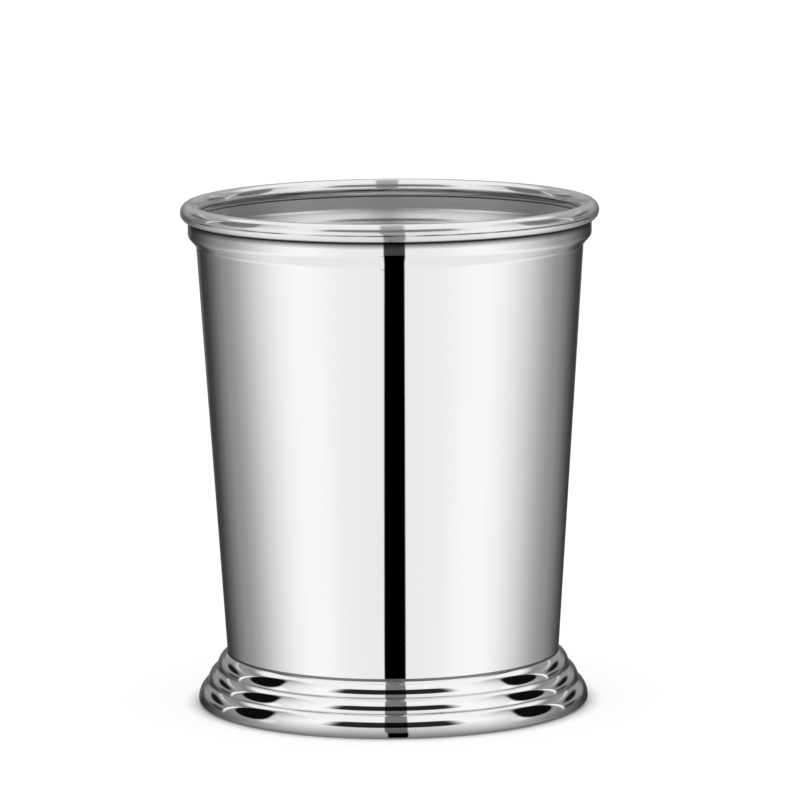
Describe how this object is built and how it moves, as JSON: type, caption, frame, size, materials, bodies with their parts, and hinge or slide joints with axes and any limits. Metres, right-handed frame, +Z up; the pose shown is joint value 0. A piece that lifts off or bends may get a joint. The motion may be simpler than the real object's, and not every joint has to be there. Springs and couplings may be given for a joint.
{
  "type": "julep cup",
  "caption": "Tapered metal tumbler with a round beaded lip over a flared band, and a stepped foot of stacked round ribs.",
  "frame": {"origin": "centre of the circle that the foot rests on, at the height of the table", "axes": "+Z up along the cup's axis of turning; the cup is the same all round, so +X and +Y are free"},
  "size_m": [0.0892, 0.0892, 0.108],
  "materials": {
    "polished_metal": "mirror polished outside, on the bead and on the foot; satin on the inner wall and on the floor",
    "solder": "silver solder, smoothed and polished with the sheet"
  },
  "bodies": {
    "root": {"cup_wall": "polished_metal", "rim_bead": "polished_metal", "cup_floor": "polished_metal", "foot_ring": "polished_metal", "rim_solder": "solder", "floor_solder": "solder", "foot_solder": "solder"}
  },
  "joints": []
}
